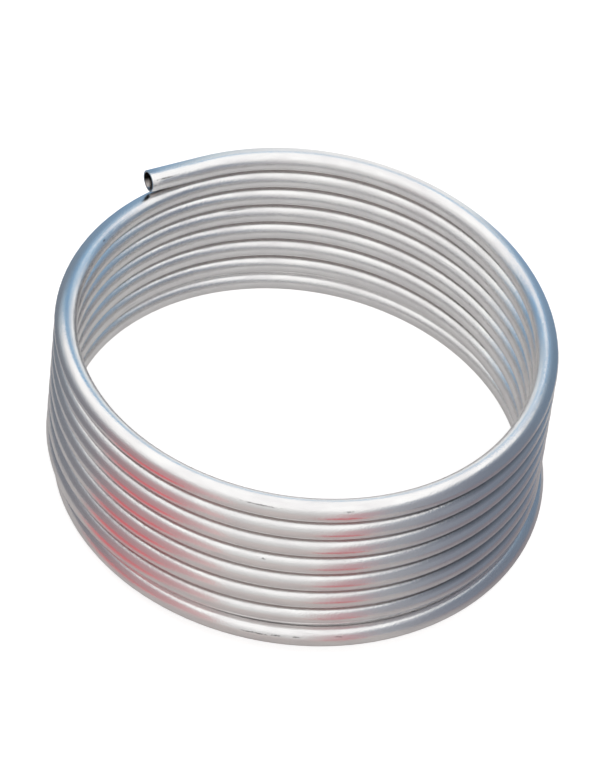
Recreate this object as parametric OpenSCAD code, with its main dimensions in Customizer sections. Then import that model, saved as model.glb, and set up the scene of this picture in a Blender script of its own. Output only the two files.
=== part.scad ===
// A standing coil of round aluminium tube: one layer, wound turn upon turn,
// its top end cut square and left straight. All sizes are in millimetres.

/* [Tube] */
// Outside diameter of the tube: 3/8 inch
tube_od = 9.525; // [5:0.025:9.55]
// Wall thickness of the tube: 0.035 inch
tube_wall = 0.889; // [0.5:0.001:2]

/* [Coil] */
// Distance from the coil's axis to the middle of the tube
coil_r = 100; // [100:5:200]
// Number of half turns, counted up from the lowest
half_turns = 16; // [6:1:24]
// Rise of the tube for each millimetre across the coil
climb = 0.024; // [0.024:0.002:0.026]
// How far each turn lies to the side of the turn below it
sway = 0.6; // [0:0.1:1]

/* [Lowest turn] */
// How far it has sprung out at its widest
bulge = 3; // [0:1:6]
// How far its end is tucked in
tuck = 6; // [0:1:8]
// Angle that it falls short of a full turn
shortfall = 55; // [0:5:90]

/* [Free end] */
// Length of the straight end on top
lead = 26; // [10:1:40]
// Direction from the axis to where the straight end begins
lead_angle = 125; // [0:5:355]

/* [Hidden] */

tube_bore = tube_od - 2 * tube_wall;
end_rise = (reach(0) + reach(1)) / 2 * climb * (1 - cos(shortfall));

// Each half turn is a flat half ring that leans by this angle, so that it climbs
// from one side of the coil to the other and meets its neighbours square on.
lean = asin(climb);

// Where half turn k starts: its side of the axis, its distance from the axis and its height
function side(k) = k % 2 == 0 ? 1 : -1;
function swayed(k) = side(k) * sway * (k - half_turns / 2) / 2;
function reach(k) = coil_r + swayed(k) + (k == 1 ? bulge : 0) - (k == 0 ? tuck : 0);
function start_z(k) = k == 0 ? tube_od / 2 : start_z(k - 1) + (reach(k - 1) + reach(k)) * climb;

// The tube's cross-section: a ring
module section() {
    difference() {
        circle(d = tube_od, $fn = 32);
        circle(d = tube_bore, $fn = 32);
    }
}

// The leaning plane of half turn k, with +X at its start and +Y ahead
module leaning_plane(k) {
    translate([0, 0, start_z(k) + reach(k) * climb])
        rotate([0, side(k) * lean, 0])
            rotate([0, 0, k % 2 * 180])
                children();
}

// Half turn k: a half ring of tube from its own start, or a little after it, to the next
module half_turn(k) {
    skipped = k == 0 ? shortfall : 0;
    ring_r = (reach(k) + reach(k + 1)) / 2;
    leaning_plane(k)
        translate([reach(k) - ring_r, 0, 0])
            rotate_extrude(start = skipped, angle = 180 - skipped, $fn = 96)
                translate([ring_r, 0])
                    section();
}

// The straight end, which runs on from the last half turn
module straight_end() {
    leaning_plane(half_turns - 1)
        translate([-reach(half_turns), 0, 0])
            rotate([90, 0, 0])
                linear_extrude(lead)
                    section();
}

// The whole coil, set down so that its low end rests on the ground
module tube_coil() {
    color("silver")
        translate([0, 0, -end_rise])
            rotate([0, 0, lead_angle + half_turns % 2 * 180])
                union() {
                    for (k = [0 : half_turns - 1]) half_turn(k);
                    straight_end();
                }
}

tube_coil();
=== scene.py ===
# A standing coil of bare drawn aluminium tube, and the studio that it stands in.
import math

import bpy
from bpy.props import FloatProperty, FloatVectorProperty, IntProperty, PointerProperty
from mathutils import Matrix, Vector


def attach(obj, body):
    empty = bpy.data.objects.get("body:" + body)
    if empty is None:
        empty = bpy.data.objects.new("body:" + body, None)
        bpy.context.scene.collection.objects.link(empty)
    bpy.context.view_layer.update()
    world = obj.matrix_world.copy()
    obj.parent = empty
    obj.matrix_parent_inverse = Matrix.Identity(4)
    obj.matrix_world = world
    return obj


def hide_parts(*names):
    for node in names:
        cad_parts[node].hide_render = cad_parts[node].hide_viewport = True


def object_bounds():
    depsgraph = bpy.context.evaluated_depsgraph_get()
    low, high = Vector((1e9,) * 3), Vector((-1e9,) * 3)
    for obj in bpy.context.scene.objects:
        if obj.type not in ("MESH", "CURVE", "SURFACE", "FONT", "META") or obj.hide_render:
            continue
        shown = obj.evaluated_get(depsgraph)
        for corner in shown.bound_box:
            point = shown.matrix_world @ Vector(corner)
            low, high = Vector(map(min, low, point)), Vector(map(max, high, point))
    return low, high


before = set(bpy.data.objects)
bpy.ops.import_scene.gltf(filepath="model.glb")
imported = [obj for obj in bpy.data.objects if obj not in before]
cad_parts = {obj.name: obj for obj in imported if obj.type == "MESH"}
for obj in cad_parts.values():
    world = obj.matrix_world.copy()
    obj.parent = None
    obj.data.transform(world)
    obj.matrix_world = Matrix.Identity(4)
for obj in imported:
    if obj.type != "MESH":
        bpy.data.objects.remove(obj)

bl_info = {
    "name": "Aluminium Tube Coil",
    "version": (1, 0, 0),
    "blender": (4, 5, 0),
    "location": "View3D > Sidebar > Tube Coil",
    "description": "Winds a length of drawn aluminium tube into a standing coil and lights it",
    "category": "Add Mesh",
}

CAD_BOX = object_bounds()
MM = 0.001


def linear(hex_colour):
    """An sRGB hex colour as linear RGBA."""
    parts = [int(hex_colour[i:i + 2], 16) / 255 for i in (1, 3, 5)]
    levels = [c / 12.92 if c <= 0.04045 else ((c + 0.055) / 1.055) ** 2.4 for c in parts]
    return (*levels, 1.0)


WHITE = linear("#FFFFFF")


def add(tree, kind, inputs=None, **settings):
    """A new node with its settings. An input is a value, or the socket that feeds it."""
    node = tree.nodes.new(kind)
    for name, value in settings.items():
        setattr(node, name, value)
    for key, value in (inputs or {}).items():
        if isinstance(value, bpy.types.NodeSocket):
            tree.links.new(value, node.inputs[key])
        else:
            node.inputs[key].default_value = value
    return node


# ---------------------------------------------------------------- sizes and colours

class TubeSettings(bpy.types.PropertyGroup):
    """The tube and the way it is wound."""
    outside: FloatProperty(
        name="Outside Diameter", description="Outside diameter of the tube, 3/8 inch",
        default=9.525 * MM, min=0.004, unit="LENGTH", precision=5)
    wall: FloatProperty(
        name="Wall", description="Wall thickness of the tube, 0.035 inch",
        default=0.889 * MM, min=0.0003, unit="LENGTH", precision=5)
    coil_radius: FloatProperty(
        name="Coil Radius", description="From the axis to the middle of the tube",
        default=100 * MM, min=0.05, unit="LENGTH")
    half_turns: IntProperty(
        name="Half Turns", description="Number of half turns, from the lowest up",
        default=16, min=4)
    climb: FloatProperty(
        name="Climb", description="Rise of the tube for each metre across the coil",
        default=0.024, min=0.024, max=0.1)
    sway: FloatProperty(
        name="Sway", description="How far each turn lies to the side of the turn below it",
        default=0.6 * MM, unit="LENGTH")
    bulge: FloatProperty(
        name="Bulge", description="How far the lowest turn has sprung out",
        default=3 * MM, unit="LENGTH")
    tuck: FloatProperty(
        name="Tuck", description="How far the low end is tucked in",
        default=6 * MM, unit="LENGTH")
    shortfall: FloatProperty(
        name="Shortfall", description="Angle by which the lowest turn stops short",
        default=math.radians(55), subtype="ANGLE")
    lead: FloatProperty(
        name="Lead", description="Length of the straight end on top",
        default=26 * MM, unit="LENGTH")
    lead_angle: FloatProperty(
        name="Lead Angle", description="Direction of the start of the straight end",
        default=math.radians(125), subtype="ANGLE")
    lip: FloatProperty(
        name="Lip", description="How far the deburred edge of a cut end is rounded",
        default=0.14 * MM, unit="LENGTH", precision=5)
    metal: FloatVectorProperty(
        name="Metal", description="Colour of the bare metal",
        default=linear("#F4F3F2")[:3], subtype="COLOR", min=0, max=1)
    film: FloatVectorProperty(
        name="Dull Film", description="Colour of the metal under its oxide film",
        default=linear("#EBE9E9")[:3], subtype="COLOR", min=0, max=1)
    # Painted shade: the bore is given this dark colour, which the scratches from handling use too
    bore: FloatVectorProperty(
        name="Bore", description="Colour of the painted shade in the bore, and of the scratches",
        default=linear("#151312")[:3], subtype="COLOR", min=0, max=1)
    # Painted shade: the grooves where the turns touch are darkened to this colour
    groove_shade: FloatVectorProperty(
        name="Groove Shade", description="Colour of the painted shade in the grooves where turns touch",
        default=linear("#B2ABA8")[:3], subtype="COLOR", min=0, max=1)
    # Painted shade: on the coil's right side the grooves and the tops of the turns are darkened to
    # this colour
    pool: FloatVectorProperty(
        name="Right Side Shade", description="Colour of the darker painted shade on the coil's right side",
        default=linear("#4A4644")[:3], subtype="COLOR", min=0, max=1)


class StudioSettings(bpy.types.PropertyGroup):
    """The floor, the light and the camera."""
    floor: FloatVectorProperty(
        name="Floor", description="Colour of the floor",
        default=linear("#C9C6C5")[:3], subtype="COLOR", min=0, max=1)
    floor_glow: FloatProperty(
        name="Floor Glow", description="Glow that whitens the floor for the camera",
        default=0.7, min=0)
    walls: FloatProperty(
        name="Walls", description="Brightness of the white walls",
        default=0.69, min=0)
    overhead: FloatProperty(
        name="Overhead", description="Brightness of the white tent overhead",
        default=1.09, min=0)
    screen_radius: FloatProperty(
        name="Screen Radius", description="Radius of the curved screen",
        default=0.2, min=0.15, unit="LENGTH")
    screen_side: FloatProperty(
        name="Screen Side", description="How far the screen stands to the right",
        default=0.03, unit="LENGTH")
    camera_distance: FloatProperty(
        name="Camera Distance", description="From the camera to the middle",
        default=1.971, min=0.5, unit="LENGTH")
    camera_elevation: FloatProperty(
        name="Camera Elevation", description="Angle of the camera's view down",
        default=math.radians(44.965), subtype="ANGLE")
    camera_side: FloatProperty(
        name="Camera Side", description="Angle of the camera right of the front",
        default=math.radians(1.463), subtype="ANGLE")
    camera_roll: FloatProperty(
        name="Camera Roll", description="Angle by which the camera leans left",
        default=math.radians(9.773), subtype="ANGLE")
    aim: FloatProperty(
        name="Aim", description="How far above the coil's middle the camera looks",
        default=0.44 * MM, unit="LENGTH", precision=5)
    lens: FloatProperty(
        name="Lens", description="Focal length on a 36 mm sensor",
        default=217.17, min=20, unit="CAMERA")


# ---------------------------------------------------------------- the wound tube

TUBE_INPUTS = (
    ("Outside Diameter", "NodeSocketFloat", "outside"),
    ("Wall", "NodeSocketFloat", "wall"),
    ("Coil Radius", "NodeSocketFloat", "coil_radius"),
    ("Half Turns", "NodeSocketInt", "half_turns"),
    ("Climb", "NodeSocketFloat", "climb"),
    ("Sway", "NodeSocketFloat", "sway"),
    ("Bulge", "NodeSocketFloat", "bulge"),
    ("Tuck", "NodeSocketFloat", "tuck"),
    ("Shortfall", "NodeSocketFloat", "shortfall"),
    ("Lead", "NodeSocketFloat", "lead"),
    ("Lead Angle", "NodeSocketFloat", "lead_angle"),
    ("Lip", "NodeSocketFloat", "lip"),
)

# How finely the tube is drawn: points round it, and rings of them on the outside and in the bore
# for each half turn, and over each cut end
POINTS_ROUND = 40
OUTSIDE_RINGS = 60.0
BORE_RINGS = 30.0
LIP_RINGS = 8.0

# The sums that wind the tube, a row for each: its name, the operation, and the numbers, inputs or
# earlier sums that go in. A place along the tube is counted in half turns, and one past the last
# lies on the straight end. Half turn k is a flat half ring that leans to one side, so that it
# climbs, and the next one leans the other way.
WINDING = (
    # where the tube begins and ends
    ("half length", "MULTIPLY", "Coil Radius", math.pi),
    ("half lip", "DIVIDE", "Lip", "half length"),
    ("half lead", "DIVIDE", "Lead", "half length"),
    ("cut away", "DIVIDE", "Shortfall", math.pi),
    ("low end", "ADD", "cut away", "half lip"),
    ("past coil", "SUBTRACT", "half lead", "half lip"),
    ("high end", "ADD", "Half Turns", "past coil"),
    ("span", "SUBTRACT", "high end", "low end"),
    # the rings of points: up the outside, over the lip, down the bore and out again
    ("outside rings", "MULTIPLY", "span", OUTSIDE_RINGS),
    ("outside top", "CEIL", "outside rings"),
    ("lip top", "ADD", "outside top", LIP_RINGS),
    ("bore rings", "MULTIPLY", "span", BORE_RINGS),
    ("bore count", "CEIL", "bore rings"),
    ("bore bottom", "ADD", "lip top", "bore count"),
    ("last ring", "ADD", "bore bottom", LIP_RINGS),
    ("lifted", "ADD", "point Z", 0.5),
    ("ring", "MULTIPLY", "lifted", "last ring"),
    ("up", "RAMP", "ring", 0.0, "outside top"),
    ("over", "RAMP", "ring", "outside top", "lip top"),
    ("down", "RAMP", "ring", "lip top", "bore bottom"),
    ("out", "RAMP", "ring", "bore bottom", "last ring"),
    # each cut end bulges by the lip, with its edges rounded
    ("over left", "MULTIPLY_ADD", "over", -4.0, 4.0),
    ("over hump", "MULTIPLY", "over", "over left"),
    ("over edge", "POWER", "over hump", 0.25),
    ("out left", "MULTIPLY_ADD", "out", -4.0, 4.0),
    ("out hump", "MULTIPLY", "out", "out left"),
    ("out edge", "POWER", "out hump", 0.25),
    ("edges", "SUBTRACT", "over edge", "out edge"),
    ("travel", "SUBTRACT", "up", "down"),
    ("on wall", "MULTIPLY_ADD", "span", "travel", "low end"),
    ("along", "MULTIPLY_ADD", "half lip", "edges", "on wall"),
    ("outer radius", "MULTIPLY", "Outside Diameter", 0.5),
    ("across wall", "SUBTRACT", "out", "over"),
    ("radius", "MULTIPLY_ADD", "across wall", "Wall", "outer radius"),
    ("outward", "MULTIPLY", "point X", "radius"),
    ("downward", "MULTIPLY", "point Y", "radius"),
    ("upward", "MULTIPLY", "downward", -1.0),
    # which half turn a point is on, how far round it, and how far past the coil
    ("whole", "FLOOR", "along"),
    ("last k", "SUBTRACT", "Half Turns", 1.0),
    ("k", "MINIMUM", "whole", "last k"),
    ("part", "SUBTRACT", "along", "k"),
    ("round", "MINIMUM", "part", 1.0),
    ("angle", "MULTIPLY", "round", math.pi),
    ("beyond", "SUBTRACT", "part", "round"),
    ("straight", "MULTIPLY", "beyond", "half length"),
    ("odd", "MODULO", "k", 2.0),
    ("side", "MULTIPLY_ADD", "odd", -2.0, 1.0),
    ("is first", "LESS_THAN", "k", 0.5),
    ("up to second", "LESS_THAN", "k", 1.5),
    ("is second", "MULTIPLY", "up to second", "odd"),
    # how far from the axis this half turn starts and ends
    ("half sway", "MULTIPLY", "Sway", 0.5),
    ("own sway", "MULTIPLY", "half sway", "side"),
    ("from middle", "MULTIPLY_ADD", "Half Turns", -0.5, "k"),
    ("to next", "ADD", "from middle", 1.0),
    ("swayed start", "MULTIPLY_ADD", "own sway", "from middle", "Coil Radius"),
    ("sprung start", "MULTIPLY_ADD", "is second", "Bulge", "swayed start"),
    ("tucked", "MULTIPLY", "is first", "Tuck"),
    ("start", "SUBTRACT", "sprung start", "tucked"),
    ("end sway", "MULTIPLY", "own sway", "to next"),
    ("swayed end", "SUBTRACT", "Coil Radius", "end sway"),
    ("end", "MULTIPLY_ADD", "is first", "Bulge", "swayed end"),
    ("both", "ADD", "start", "end"),
    ("ring radius", "MULTIPLY", "both", 0.5),
    # its height is the climb times the reaches of all half turns before it, summed
    ("diameter", "MULTIPLY", "Coil Radius", 2.0),
    ("plain reaches", "MULTIPLY", "diameter", "k"),
    ("odd sway", "MULTIPLY", "half sway", "odd"),
    ("swayed reaches", "SUBTRACT", "plain reaches", "odd sway"),
    ("k to two", "MINIMUM", "k", 2.0),
    ("sprung reaches", "MULTIPLY_ADD", "Bulge", "k to two", "swayed reaches"),
    ("k to one", "MINIMUM", "k", 1.0),
    ("tucks", "MULTIPLY", "Tuck", "k to one"),
    ("reaches", "SUBTRACT", "sprung reaches", "tucks"),
    ("first sway", "MULTIPLY_ADD", "Sway", -0.25, "Coil Radius"),
    ("first change", "SUBTRACT", "Bulge", "Tuck"),
    ("first ring", "MULTIPLY_ADD", "first change", 0.5, "first sway"),
    ("cut cosine", "COSINE", "Shortfall"),
    ("cut rise", "SUBTRACT", 1.0, "cut cosine"),
    ("end rise", "MULTIPLY", "first ring", "cut rise"),
    ("at start", "ADD", "reaches", "start"),
    ("base", "SUBTRACT", "at start", "end rise"),
    # the point in its leaning plane, then leaned and lifted
    ("arm", "ADD", "ring radius", "outward"),
    ("cosine", "COSINE", "angle"),
    ("sine", "SINE", "angle"),
    ("centre", "SUBTRACT", "start", "ring radius"),
    ("across", "MULTIPLY_ADD", "arm", "cosine", "centre"),
    ("swung", "MULTIPLY", "arm", "sine"),
    ("ahead", "SUBTRACT", "swung", "straight"),
    ("lean", "ARCSINE", "Climb"),
    ("level", "COSINE", "lean"),
    ("across level", "MULTIPLY", "across", "level"),
    ("leaned", "MULTIPLY_ADD", "upward", "Climb", "across level"),
    ("x", "MULTIPLY", "leaned", "side"),
    ("y", "MULTIPLY", "ahead", "side"),
    ("drop", "SUBTRACT", "base", "across"),
    ("up level", "MULTIPLY_ADD", "upward", "level", "outer radius"),
    ("z", "MULTIPLY_ADD", "drop", "Climb", "up level"),
    ("spare half", "MODULO", "Half Turns", 2.0),
    ("turned", "MULTIPLY_ADD", "spare half", math.pi, "Lead Angle"),
    ("metres along", "MULTIPLY", "along", "half length"),
)


def winding_tree(material):
    """Geometry Nodes that make a straight tube with deburred ends and wind it into the coil."""
    tree = bpy.data.node_groups.new("Wound Tube", "GeometryNodeTree")
    for name, kind, _ in TUBE_INPUTS:
        tree.interface.new_socket(name, in_out="INPUT", socket_type=kind)
    tree.interface.new_socket("Geometry", in_out="OUTPUT", socket_type="NodeSocketGeometry")
    made = {socket.name: socket for socket in add(tree, "NodeGroupInput").outputs if socket.name}
    point = add(tree, "GeometryNodeInputPosition").outputs["Position"]
    for socket in add(tree, "ShaderNodeSeparateXYZ", {"Vector": point}).outputs:
        made["point " + socket.name] = socket
    for name, operation, *values in WINDING:
        values = [made.get(value, value) for value in values]
        if operation == "RAMP":
            limits = dict(zip(("Value", "From Min", "From Max"), values))
            made[name] = add(tree, "ShaderNodeMapRange", limits, label=name).outputs[0]
        else:
            made[name] = add(tree, "ShaderNodeMath", dict(enumerate(values)), operation=operation,
                             label=name).outputs[0]

    shell = add(tree, "GeometryNodeMeshCylinder", {"Vertices": POINTS_ROUND,
                "Side Segments": made["last ring"], "Radius": 1.0, "Depth": 1.0},
                fill_type="NONE").outputs["Mesh"]
    # Each point remembers its place on the straight tube, which the marks on the metal follow: how
    # far along the tube it is, how far out from the tube's middle and how far up
    unwound = add(tree, "ShaderNodeCombineXYZ", {"X": made["metres along"], "Y": made["outward"],
                  "Z": made["upward"]}).outputs[0]
    marked = add(tree, "GeometryNodeStoreNamedAttribute", {"Geometry": shell, "Name": "straight",
                 "Value": unwound}, data_type="FLOAT_VECTOR", domain="POINT").outputs[0]
    leaned = add(tree, "ShaderNodeCombineXYZ", {"X": made["x"], "Y": made["y"],
                 "Z": made["z"]}).outputs[0]
    wound = add(tree, "ShaderNodeVectorRotate", {"Vector": leaned, "Angle": made["turned"]},
                rotation_type="Z_AXIS").outputs[0]
    coil = add(tree, "GeometryNodeSetPosition", {"Geometry": marked, "Position": wound}).outputs[0]
    closed = add(tree, "GeometryNodeMergeByDistance", {"Geometry": coil,
                 "Distance": 0.001 * MM}).outputs[0]
    smooth = add(tree, "GeometryNodeSetShadeSmooth", {"Geometry": closed}).outputs[0]
    real = add(tree, "GeometryNodeRealizeInstances", {"Geometry": smooth}).outputs[0]
    painted = add(tree, "GeometryNodeSetMaterial", {"Geometry": real,
                  "Material": material}).outputs[0]
    add(tree, "NodeGroupOutput", {"Geometry": painted})
    return tree


# Marks from handling: how far along the tube each one is in metres, its direction from the middle
# of the tube, counted up from the coil's outer side, and its length in metres.
MARKS = (
    (0.2510, 24, 0.012),
    (0.2590, 27, 0.006),
    (0.2670, 29, 0.004),
    (0.2846, 35, 0.003),
    (1.8950, 35, 0.002),
    (2.7660, 36, 0.002),
    (4.4600, 130, 0.002),
    (4.6470, 36, 0.015),
    (4.6820, 37, 0.004),
    (5.0465, 137, 0.009),
)


def empty_tree(owner):
    """The node tree of a new material or world, with nothing in it."""
    owner.use_nodes = True
    owner.node_tree.nodes.clear()
    return owner.node_tree


def streaks(tree, straight, along, across, detail):
    """Noise drawn out along the tube, with so many spots to the metre along it and across it."""
    drawn = add(tree, "ShaderNodeMapping", {"Vector": straight,
                "Scale": (along, across, across)}).outputs[0]
    return add(tree, "ShaderNodeTexNoise", {"Vector": drawn, "Scale": 1.0,
               "Detail": detail}).outputs["Fac"]


def groove_shaded(tree, settings, straight, spot, colour):
    """The metal's colour with painted shade in the grooves between the turns, darker on the coil's
    right side.
    """
    place = add(tree, "ShaderNodeSeparateXYZ", {"Vector": straight}).outputs
    one_turn = 2 * math.pi * settings.coil_radius
    # The painted shade lies under each turn from the third up, where it sets in over 80 mm, because
    # the second is clear of the lowest, which has sprung out. It starts 17 degrees below the side
    # of the tube and is full at 64.
    resting = add(tree, "ShaderNodeMapRange", {"Value": place["X"], "From Min": 2 * one_turn,
                  "From Max": 2 * one_turn + 80 * MM}, interpolation_type="SMOOTHSTEP")
    under = add(tree, "ShaderNodeMapRange", {"Value": place["Z"], "To Max": resting.outputs[0],
                "From Min": settings.outside * -0.15, "From Max": settings.outside * -0.45},
                interpolation_type="SMOOTHSTEP").outputs[0]
    # On the coil's right side the painted shade takes a darker colour, the more so the further
    # right
    right = add(tree, "ShaderNodeSeparateXYZ", {"Vector": spot}).outputs["X"]
    shade_on_right = add(tree, "ShaderNodeMapRange", {"Value": right,
                 "From Min": settings.coil_radius * 0.45,
                 "From Max": settings.coil_radius * 0.8}).outputs[0]
    # There painted shade also lies over the turn below each groove, dimming its highlight, from 70
    # degrees above the side of the tube down to 37, and weaker. It is on the outside only, and not
    # on the lowest turn or the top one.
    thinned = add(tree, "ShaderNodeMath", {0: shade_on_right, 1: 0.6}, operation="MULTIPLY").outputs[0]
    over = add(tree, "ShaderNodeMapRange", {"Value": place["Z"], "To Max": thinned,
               "From Min": settings.outside * 0.3, "From Max": settings.outside * 0.47},
               interpolation_type="SMOOTHSTEP").outputs[0]
    halfway = one_turn * settings.half_turns / 4
    between = add(tree, "ShaderNodeMath", {0: place["X"], 1: halfway, 2: halfway - one_turn},
                  operation="COMPARE").outputs[0]
    outer = add(tree, "ShaderNodeMath", {0: place["Y"], 1: 0.0},
                operation="GREATER_THAN").outputs[0]
    for limit in (between, outer):
        over = add(tree, "ShaderNodeMath", {0: over, 1: limit}, operation="MULTIPLY").outputs[0]
    groove = add(tree, "ShaderNodeMath", {0: under, 1: over}, operation="MAXIMUM").outputs[0]
    shade_colour = add(tree, "ShaderNodeMix", {"Factor": shade_on_right, "A": (*settings.groove_shade, 1),
              "B": (*settings.pool, 1)}, data_type="RGBA").outputs["Result"]
    return add(tree, "ShaderNodeMix", {"Factor": groove, "A": colour, "B": shade_colour},
               data_type="RGBA").outputs["Result"]


def scratched(tree, settings, straight, grain, colour):
    """The metal's colour with dark scratches from handling."""
    # Faint ones lie anywhere, up to some 15 mm long and 0.5 mm wide
    scratch = streaks(tree, straight, 30, 900, detail=1.0)
    dark = add(tree, "ShaderNodeMapRange", {"Value": scratch, "From Min": 0.75, "From Max": 0.82,
               "To Max": 0.6}).outputs[0]
    # The deeper marks are 0.7 mm wide. The grain, which is mostly near 0.5, breaks them up: a mark
    # is dark to about a quarter of the way out from its middle, and gone at about its rim.
    width = 0.7 * MM
    radius = settings.outside / 2
    for along, direction, length in MARKS:
        up = math.radians(direction)
        middle = Vector((along, math.cos(up) * radius, math.sin(up) * radius))
        off = add(tree, "ShaderNodeVectorMath", {0: straight, 1: middle},
                  operation="SUBTRACT").outputs[0]
        shares = add(tree, "ShaderNodeVectorMath", {0: off, 1: (2 / length, 2 / width, 2 / width)},
                     operation="MULTIPLY").outputs[0]
        reach = add(tree, "ShaderNodeVectorMath", {0: shares}, operation="LENGTH").outputs["Value"]
        broken = add(tree, "ShaderNodeMath", {0: grain, 1: 2.5, 2: reach},
                     operation="MULTIPLY_ADD").outputs[0]
        mark = add(tree, "ShaderNodeMapRange", {"Value": broken, "From Min": 2.3, "From Max": 1.5,
                   "To Max": 0.65}).outputs[0]
        dark = add(tree, "ShaderNodeMath", {0: dark, 1: mark}, operation="MAXIMUM").outputs[0]
    return add(tree, "ShaderNodeMix", {"Factor": dark, "A": colour, "B": (*settings.bore, 1)},
               data_type="RGBA").outputs["Result"]


def drawn_aluminium(settings):
    """Bare aluminium tube, drawn through a die: bright metal under a thin dull film."""
    # The die leaves fine lines along the tube, so its shine spreads round the tube and not along
    # it: the rotation of 0.25 is a quarter turn away from the lines.
    material = bpy.data.materials.new("Drawn aluminium, satin")
    tree = empty_tree(material)
    straight = add(tree, "ShaderNodeAttribute", attribute_name="straight").outputs["Vector"]
    spot = add(tree, "ShaderNodeTexCoord").outputs["Object"]
    # Draw lines are some 0.05 mm apart, and drawn 0.5 mm apart so that they show
    lines = streaks(tree, straight, 18, 2000, detail=3.0)
    # The soft metal's own grain is some 0.7 mm across
    grain = add(tree, "ShaderNodeTexNoise", {"Vector": straight, "Scale": 1400,
                "Detail": 2}).outputs["Fac"]
    # Clouds in the film, 15 mm long and 4 mm across
    cloud = streaks(tree, straight, 65, 250, detail=4.0)
    film = add(tree, "ShaderNodeMapRange", {"Value": cloud, "From Min": 0.35,
               "From Max": 0.7}).outputs[0]
    colour = add(tree, "ShaderNodeMix", {"Factor": film, "A": (*settings.metal, 1),
                 "B": (*settings.film, 1)}, data_type="RGBA").outputs["Result"]
    # The bore is painted dark as shade, and so is the inner 0.3 mm of the wall where it is cut
    across = add(tree, "ShaderNodeVectorMath", {0: straight, 1: (0, 1, 1)},
                 operation="MULTIPLY").outputs[0]
    from_middle = add(tree, "ShaderNodeVectorMath", {0: across},
                      operation="LENGTH").outputs["Value"]
    bore_radius = settings.outside / 2 - settings.wall
    in_bore = add(tree, "ShaderNodeMapRange", {"Value": from_middle,
                  "From Min": bore_radius + 0.3 * MM,
                  "From Max": bore_radius + 0.05 * MM}).outputs[0]
    colour = add(tree, "ShaderNodeMix", {"Factor": in_bore, "A": colour, "B": (*settings.bore, 1)},
                 data_type="RGBA").outputs["Result"]
    # Painted shade in the grooves between the turns, darker on the coil's right side
    colour = groove_shaded(tree, settings, straight, spot, colour)
    colour = scratched(tree, settings, straight, grain, colour)
    rough = add(tree, "ShaderNodeMapRange", {"Value": film, "To Min": 0.17,
                "To Max": 0.26}).outputs[0]
    bump = add(tree, "ShaderNodeBump", {"Strength": 0.2, "Distance": 0.1 * MM,
               "Height": lines}).outputs[0]
    bump = add(tree, "ShaderNodeBump", {"Strength": 0.35, "Distance": 0.2 * MM, "Height": grain,
               "Normal": bump}).outputs[0]
    # The lines run the way that the tube runs round the coil
    ahead = add(tree, "ShaderNodeVectorMath", {0: (0, 0, 1), 1: spot},
                operation="CROSS_PRODUCT").outputs[0]
    shader = add(tree, "ShaderNodeBsdfPrincipled", {"Base Color": colour, "Metallic": 1.0,
                 "Roughness": rough, "Normal": bump, "Anisotropic": 0.8,
                 "Anisotropic Rotation": 0.25, "Tangent": ahead})
    add(tree, "ShaderNodeOutputMaterial", {"Surface": shader.outputs[0]})
    return material


class WindTube(bpy.types.Operator):
    """Make the aluminium tube and wind it into a standing coil"""
    bl_idname = "tube_coil.wind_tube"
    bl_label = "Wind the Tube"

    def execute(self, context):
        settings = context.scene.tube_coil
        tree = winding_tree(drawn_aluminium(settings))
        holder = bpy.data.objects.new("winding", bpy.data.meshes.new("winding"))
        context.scene.collection.objects.link(holder)
        modifier = holder.modifiers.new("Wound Tube", "NODES")
        modifier.node_group = tree
        sockets = {s.name: s.identifier for s in tree.interface.items_tree if s.in_out == "INPUT"}
        for name, _, setting in TUBE_INPUTS:
            modifier[sockets[name]] = getattr(settings, setting)
        graph = context.evaluated_depsgraph_get()
        mesh = bpy.data.meshes.new_from_object(
            holder.evaluated_get(graph), preserve_all_data_layers=True, depsgraph=graph)
        if not mesh.polygons:
            raise RuntimeError("the winding made no faces")
        bpy.data.objects.remove(holder)
        tube = bpy.data.objects.new("wound_tube", mesh)
        context.scene.collection.objects.link(tube)
        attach(tube, "root")
        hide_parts("tube_coil")
        return {"FINISHED"}


# ---------------------------------------------------------------- the studio

# The curved screen, which is seen only in the metal: the direction of a place on it in degrees,
# from 0 at the right to 90 at the back, its height there in metres, and its colours there at the
# foot and at the upper edge.
SCREEN = (
    (-84, 0.10, "#D2CFCE", "#DEDDDD"),
    (-72, 0.13, "#C29DA1", "#D4D2D3"),
    (-60, 0.17, "#A2A4AA", "#B4BAC2"),
    (-38, 0.22, "#8A8F9A", "#98A2AE"),
    (-18, 0.28, "#777F8D", "#828C9A"),
    (5, 0.31, "#727C8B", "#828C9C"),
    (20, 0.28, "#718295", "#8C9AA9"),
    (37, 0.26, "#70869C", "#8E9EAE"),
    (54, 0.29, "#7C96B0", "#8CA6BE"),
    (65, 0.33, "#86A2BE", "#76A6CC"),
    (71, 0.32, "#A8BCD0", "#74A8D2"),
    (77, 0.28, "#E4E9EC", "#7CAED6"),
    (84, 0.27, "#F4F5F6", "#88B4D8"),
    (94, 0.27, "#F6F7F7", "#98BEDC"),
    (104, 0.28, "#F4F6F7", "#90BADA"),
    (113, 0.29, "#E8ECEF", "#84B2D6"),
    (120, 0.29, "#C8D4DC", "#78AAD2"),
    (127, 0.29, "#90ACC6", "#6EA2CE"),
    (138, 0.29, "#7C9AB6", "#72A4CE"),
    (150, 0.215, "#7A8EA2", "#8AB2D0"),
    (161, 0.155, "#7A8694", "#A4BCD0"),
    (174, 0.115, "#767E88", "#BAC4CC"),
    (188, 0.115, "#7C8088", "#B8BEC4"),
    (204, 0.12, "#88858B", "#BEC0C4"),
    (216, 0.12, "#A88C90", "#C2BEC0"),
    (234, 0.12, "#C49A9D", "#CEC8C9"),
    (248, 0.09, "#D6BEBD", "#DEDAD9"),
)
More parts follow.
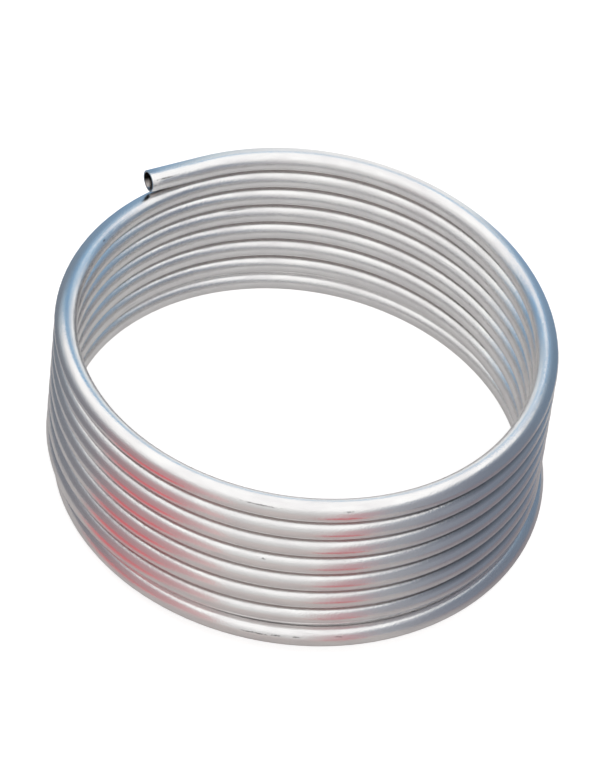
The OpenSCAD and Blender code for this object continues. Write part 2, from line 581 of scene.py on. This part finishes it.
# Sheets of paper on the floor, which are seen only in the metal: the middle, radius and colour of
# each. They fade out from 0.4 of that radius.
PAPERS = (
    ((0.0, 0.0, 0.0), 0.14, "#EEEDED"),
    ((0.0, -0.25, 0.0), 0.20, "#CDC4C2"),
    ((-0.112, -0.12, 0.0), 0.06, "#EA6E76"),
    ((0.07, -0.165, 0.0), 0.038, "#CC646D"),
    ((0.22, -0.06, 0.0), 0.17, "#8A838B"),
    ((-0.24, 0.0, 0.0), 0.14, "#B4B3B7"),
)


def whitened(tree, plain, white):
    """A plain look that lights the scene and shows in the metal, and a white one for the camera."""
    path = add(tree, "ShaderNodeLightPath").outputs
    direct = add(tree, "ShaderNodeMath", {0: path["Is Camera Ray"],
                 1: path["Is Transmission Ray"]}, operation="MAXIMUM").outputs[0]
    return add(tree, "ShaderNodeMixShader", {0: direct, 1: plain, 2: white}).outputs[0]


def stage_piece(scene, mesh, material):
    """A new object for a piece of the studio, which isn't part of the coil."""
    mesh.materials.append(material)
    piece = bpy.data.objects.new(mesh.name, mesh)
    scene.collection.objects.link(piece)
    return piece


def painted_floor(studio):
    """Flat pale paint, white for the camera, with the sheets of paper on it for the metal."""
    material = bpy.data.materials.new("Painted studio floor")
    tree = empty_tree(material)
    paint = (*studio.floor, 1)
    spot = add(tree, "ShaderNodeTexCoord").outputs["Object"]
    colour = add(tree, "ShaderNodeRGB").outputs[0]
    colour.default_value = paint
    for place, radius, tint in PAPERS:
        off = add(tree, "ShaderNodeVectorMath", {0: spot, 1: place},
                  operation="DISTANCE").outputs["Value"]
        on = add(tree, "ShaderNodeMapRange", {"Value": off, "From Min": radius,
                 "From Max": radius * 0.4}, interpolation_type="SMOOTHSTEP").outputs[0]
        colour = add(tree, "ShaderNodeMix", {"Factor": on, "A": colour, "B": linear(tint)},
                     data_type="RGBA").outputs["Result"]
    matt = add(tree, "ShaderNodeBsdfDiffuse", {"Color": paint}).outputs[0]
    papers = add(tree, "ShaderNodeBsdfDiffuse", {"Color": colour}).outputs[0]
    mirrored = add(tree, "ShaderNodeLightPath").outputs["Is Glossy Ray"]
    floor = add(tree, "ShaderNodeMixShader", {0: mirrored, 1: matt, 2: papers}).outputs[0]
    glow = add(tree, "ShaderNodeEmission", {"Color": WHITE,
               "Strength": studio.floor_glow}).outputs[0]
    lit = add(tree, "ShaderNodeAddShader", {0: matt, 1: glow}).outputs[0]
    add(tree, "ShaderNodeOutputMaterial", {"Surface": whitened(tree, floor, lit)})
    return material


def lay_floor(scene, studio):
    """A plain square floor, 8 m wide."""
    half = 4
    mesh = bpy.data.meshes.new("floor")
    mesh.from_pydata([(-half, -half, 0), (half, -half, 0), (half, half, 0), (-half, half, 0)], [],
                     [(0, 1, 2, 3)])
    stage_piece(scene, mesh, painted_floor(studio))


def hang_tent(scene, studio):
    """A white tent all round, which lights the studio and is brightest overhead."""
    world = bpy.data.worlds.new("Studio")
    scene.world = world
    tree = empty_tree(world)
    way = add(tree, "ShaderNodeTexCoord").outputs["Generated"]
    height = add(tree, "ShaderNodeSeparateXYZ", {"Vector": way}).outputs["Z"]
    # Its walls reach some 15 degrees up, and from some 53 degrees up it is overhead
    tent = add(tree, "ShaderNodeMapRange", {"Value": height, "From Min": 0.25, "From Max": 0.8,
               "To Min": studio.walls, "To Max": studio.overhead},
               interpolation_type="SMOOTHSTEP").outputs[0]
    room = add(tree, "ShaderNodeBackground", {"Color": WHITE, "Strength": tent}).outputs[0]
    backdrop = add(tree, "ShaderNodeBackground", {"Color": WHITE, "Strength": 1.0}).outputs[0]
    add(tree, "ShaderNodeOutputWorld", {"Surface": whitened(tree, room, backdrop)})


def share_round(direction):
    """How far round the screen a direction is, from 0 at its first row to 1 at its last."""
    first, last = SCREEN[0][0], SCREEN[-1][0]
    return (direction - first) / (last - first)


def tinted_paper():
    """Glowing paper in the screen's colours, one ramp for its foot and one for its upper edge."""
    material = bpy.data.materials.new("Tinted paper screen")
    tree = empty_tree(material)
    unrolled = add(tree, "ShaderNodeUVMap", uv_map="UVMap").outputs[0]
    share = add(tree, "ShaderNodeSeparateXYZ", {"Vector": unrolled}).outputs
    directions, _, feet, edges = zip(*SCREEN)
    ramps = []
    for colours in (feet, edges):
        ramp = add(tree, "ShaderNodeValToRGB", {"Fac": share["X"]})
        stops = ramp.color_ramp.elements
        while len(stops) < len(SCREEN):
            stops.new(1.0)
        for stop, direction, colour in zip(stops, directions, colours):
            stop.position, stop.color = share_round(direction), linear(colour)
        ramps.append(ramp.outputs["Color"])
    # The colours of the foot reach 0.6 of the way up, and those of the edge start at 0.9
    rise = add(tree, "ShaderNodeMapRange", {"Value": share["Y"], "From Min": 0.6, "From Max": 0.9},
               interpolation_type="SMOOTHSTEP").outputs[0]
    tint = add(tree, "ShaderNodeMix", {"Factor": rise, "A": ramps[0], "B": ramps[1]},
               data_type="RGBA").outputs["Result"]
    paper = add(tree, "ShaderNodeEmission", {"Color": tint}).outputs[0]
    add(tree, "ShaderNodeOutputMaterial", {"Surface": paper})
    return material


def stand_screen(scene, studio):
    """The curved screen, in upright strips: six of them from each row of SCREEN to the next."""
    strips = 6
    posts = []
    for (start, low, *_), (stop, high, *_) in zip(SCREEN, SCREEN[1:]):
        for step in range(strips):
            part = step / strips
            posts.append((start + (stop - start) * part, low + (high - low) * part))
    posts.append(SCREEN[-1][:2])
    points = []
    for direction, height in posts:
        x = studio.screen_side + studio.screen_radius * math.cos(math.radians(direction))
        y = studio.screen_radius * math.sin(math.radians(direction))
        points += [(x, y, 0), (x, y, height)]
    mesh = bpy.data.meshes.new("screen")
    mesh.from_pydata(points, [], [(i, i + 2, i + 3, i + 1) for i in range(0, len(points) - 2, 2)])
    layer = mesh.uv_layers.new(name="UVMap")
    for loop in mesh.loops:
        post, top = divmod(loop.vertex_index, 2)
        layer.data[loop.index].uv = (share_round(posts[post][0]), top)
    screen = stage_piece(scene, mesh, tinted_paper())
    screen.visible_camera = screen.visible_diffuse = screen.visible_shadow = False
    screen.visible_transmission = screen.visible_volume_scatter = False


def set_camera(scene, studio):
    """The camera, in front and a little to the right, looking down at about the coil's middle."""
    data = bpy.data.cameras.new("camera")
    data.lens, data.sensor_width = studio.lens, 36
    data.clip_start, data.clip_end = 0.05, 50
    camera = bpy.data.objects.new("camera", data)
    scene.collection.objects.link(camera)
    right = Vector((math.cos(studio.camera_side), math.sin(studio.camera_side), 0))
    level = Vector((-right.y, right.x, 0))
    down = studio.camera_elevation
    back = Vector((0, 0, math.sin(down))) - level * math.cos(down)
    up = level * math.sin(down) + Vector((0, 0, math.cos(down)))
    roll = studio.camera_roll
    axes = Matrix((right * math.cos(roll) + up * math.sin(roll),
                   up * math.cos(roll) - right * math.sin(roll), back)).transposed()
    coil_height = CAD_BOX[1].z
    place = Vector((0, 0, coil_height / 2)) + up * studio.aim + back * studio.camera_distance
    camera.matrix_world = Matrix.Translation(place) @ axes.to_4x4()
    scene.camera = camera


class SetStudio(bpy.types.Operator):
    """Make the pale floor, the soft light and the camera"""
    bl_idname = "tube_coil.set_studio"
    bl_label = "Set the Studio"

    def execute(self, context):
        scene, studio = context.scene, context.scene.tube_studio
        scene.view_settings.view_transform = "Standard"
        lay_floor(scene, studio)
        hang_tent(scene, studio)
        stand_screen(scene, studio)
        set_camera(scene, studio)
        return {"FINISHED"}


class TubeCoilPanel(bpy.types.Panel):
    """Sizes, colours and steps of the tube coil"""
    bl_idname = "VIEW3D_PT_tube_coil"
    bl_label = "Tube Coil"
    bl_space_type = "VIEW_3D"
    bl_region_type = "UI"
    bl_category = "Tube Coil"

    def draw(self, context):
        scene = context.scene
        for group, operator in ((scene.tube_coil, WindTube), (scene.tube_studio, SetStudio)):
            box = self.layout.box()
            for name in group.bl_rna.properties.keys():
                if name not in ("rna_type", "name"):
                    box.prop(group, name)
            box.operator(operator.bl_idname)


CLASSES = (TubeSettings, StudioSettings, WindTube, SetStudio, TubeCoilPanel)


def register():
    for cls in CLASSES:
        bpy.utils.register_class(cls)
    bpy.types.Scene.tube_coil = PointerProperty(type=TubeSettings)
    bpy.types.Scene.tube_studio = PointerProperty(type=StudioSettings)


def unregister():
    del bpy.types.Scene.tube_coil
    del bpy.types.Scene.tube_studio
    for cls in reversed(CLASSES):
        bpy.utils.unregister_class(cls)


def main():
    register()
    bpy.ops.tube_coil.wind_tube()
    bpy.ops.tube_coil.set_studio()


if __name__ == "__main__":
    main()
